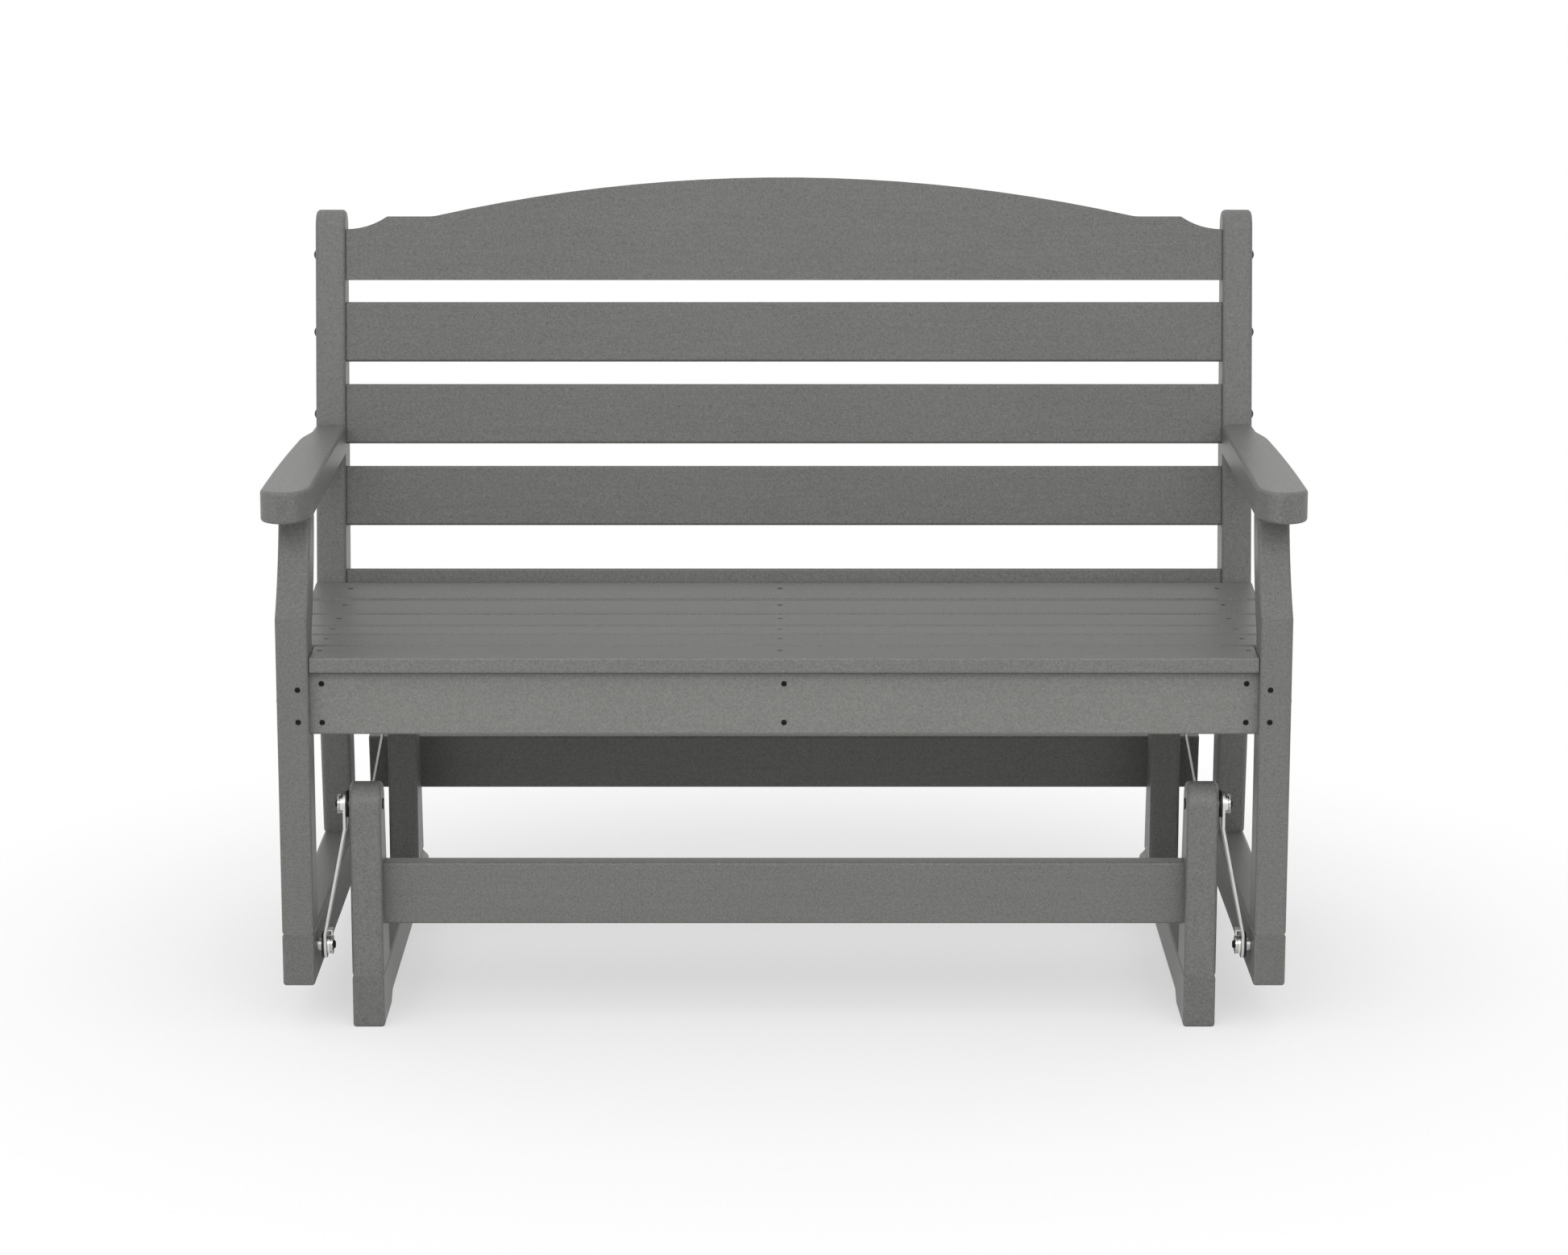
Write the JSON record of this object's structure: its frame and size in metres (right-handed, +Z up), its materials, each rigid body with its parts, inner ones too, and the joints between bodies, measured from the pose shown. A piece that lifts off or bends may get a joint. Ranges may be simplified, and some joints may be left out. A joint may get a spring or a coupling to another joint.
{
  "type": "glider bench",
  "caption": "Porch glider bench in grey plastic lumber: slatted seat, arched slatted back and arms, hung from a floor base on swinging steel links.",
  "frame": {"origin": "on the floor under the middle of the whole bench's bounding box", "axes": "+X to the bench's right as seen from the front, +Y from front to back, +Z up"},
  "size_m": [1.2274, 0.7074, 0.963],
  "materials": {
    "grey_lumber": "matte, fine sandy grain",
    "zinc_steel": "bright zinc plate",
    "black_plastic": "satin",
    "dark_steel": "black coated"
  },
  "bodies": {
    "base": {"base_runner_right": "grey_lumber", "base_front_leg_right": "grey_lumber", "base_rear_leg_right": "grey_lumber", "base_runner_left": "grey_lumber", "base_front_leg_left": "grey_lumber", "base_rear_leg_left": "grey_lumber", "base_front_stretcher": "grey_lumber", "base_rear_stretcher": "grey_lumber", "base_leg_bolts": "dark_steel", "base_stretcher_bolts": "dark_steel", "base_stretcher_screws": "dark_steel", "upper_pivot_bolts": "dark_steel", "upper_pivot_washers": "zinc_steel", "upper_pivot_spacers": "black_plastic", "upper_pivot_nuts": "dark_steel"},
    "seat": {"seat_runner_right": "grey_lumber", "seat_front_leg_right": "grey_lumber", "seat_rear_post_right": "grey_lumber", "arm_right": "grey_lumber", "seat_side_rail_right": "grey_lumber", "seat_support_right": "grey_lumber", "seat_runner_left": "grey_lumber", "seat_front_leg_left": "grey_lumber", "seat_rear_post_left": "grey_lumber", "arm_left": "grey_lumber", "seat_side_rail_left": "grey_lumber", "seat_support_left": "grey_lumber", "seat_support_centre": "grey_lumber", "front_apron": "grey_lumber", "seat_slat_1": "grey_lumber", "seat_slat_2": "grey_lumber", "seat_slat_3": "grey_lumber", "seat_slat_4": "grey_lumber", "seat_slat_5": "grey_lumber", "seat_slat_6": "grey_lumber", "back_top_rail": "grey_lumber", "back_slat_1": "grey_lumber", "back_slat_2": "grey_lumber", "back_slat_3": "grey_lumber", "back_lower_rail": "grey_lumber", "seat_leg_bolts": "dark_steel", "cross_board_bolts": "dark_steel", "side_rail_screws": "dark_steel", "post_bolts": "dark_steel", "support_screws": "dark_steel", "apron_screws": "dark_steel", "seat_slat_screws": "dark_steel", "arm_pins": "dark_steel", "lower_pivot_bolts": "dark_steel", "lower_pivot_washers": "zinc_steel", "lower_pivot_spacers": "black_plastic", "lower_pivot_nuts": "dark_steel"},
    "link_front_right": {"link_strap_front_right": "zinc_steel", "link_bearings_front_right": "zinc_steel"},
    "link_front_left": {"link_strap_front_left": "zinc_steel", "link_bearings_front_left": "zinc_steel"},
    "link_rear_right": {"link_strap_rear_right": "zinc_steel", "link_bearings_rear_right": "zinc_steel"},
    "link_rear_left": {"link_strap_rear_left": "zinc_steel", "link_bearings_rear_left": "zinc_steel"}
  },
  "joints": [
    {"name": "glide", "type": "hinge", "parent": "base", "child": "link_front_left", "pos_m": [-0.5245, -0.29775, 0.2704], "axis": [1, 0, 0], "range_deg": [-18, 12]},
    {"name": "seat_hang", "type": "hinge", "parent": "link_front_left", "child": "seat", "pos_m": [-0.5506, -0.29775, 0.096], "axis": [1, 0, 0], "range_deg": [-13, 19]},
    {"name": "link_front_right_swing", "type": "hinge", "parent": "base", "child": "link_front_right", "pos_m": [0.5245, -0.29775, 0.2704], "axis": [1, 0, 0], "range_deg": [-19, 13]},
    {"name": "link_rear_left_swing", "type": "hinge", "parent": "base", "child": "link_rear_left", "pos_m": [-0.5245, 0.21525, 0.2704], "axis": [1, 0, 0], "range_deg": [-19, 13]},
    {"name": "link_rear_right_swing", "type": "hinge", "parent": "base", "child": "link_rear_right", "pos_m": [0.5245, 0.21525, 0.2704], "axis": [1, 0, 0], "range_deg": [-19, 13]}
  ],
  "couplings": [
    {"joint": "seat_hang", "follows": "glide", "ratio": -1},
    {"joint": "link_front_right_swing", "follows": "glide", "ratio": 1},
    {"joint": "link_rear_left_swing", "follows": "glide", "ratio": 1},
    {"joint": "link_rear_right_swing", "follows": "glide", "ratio": 1}
  ]
}
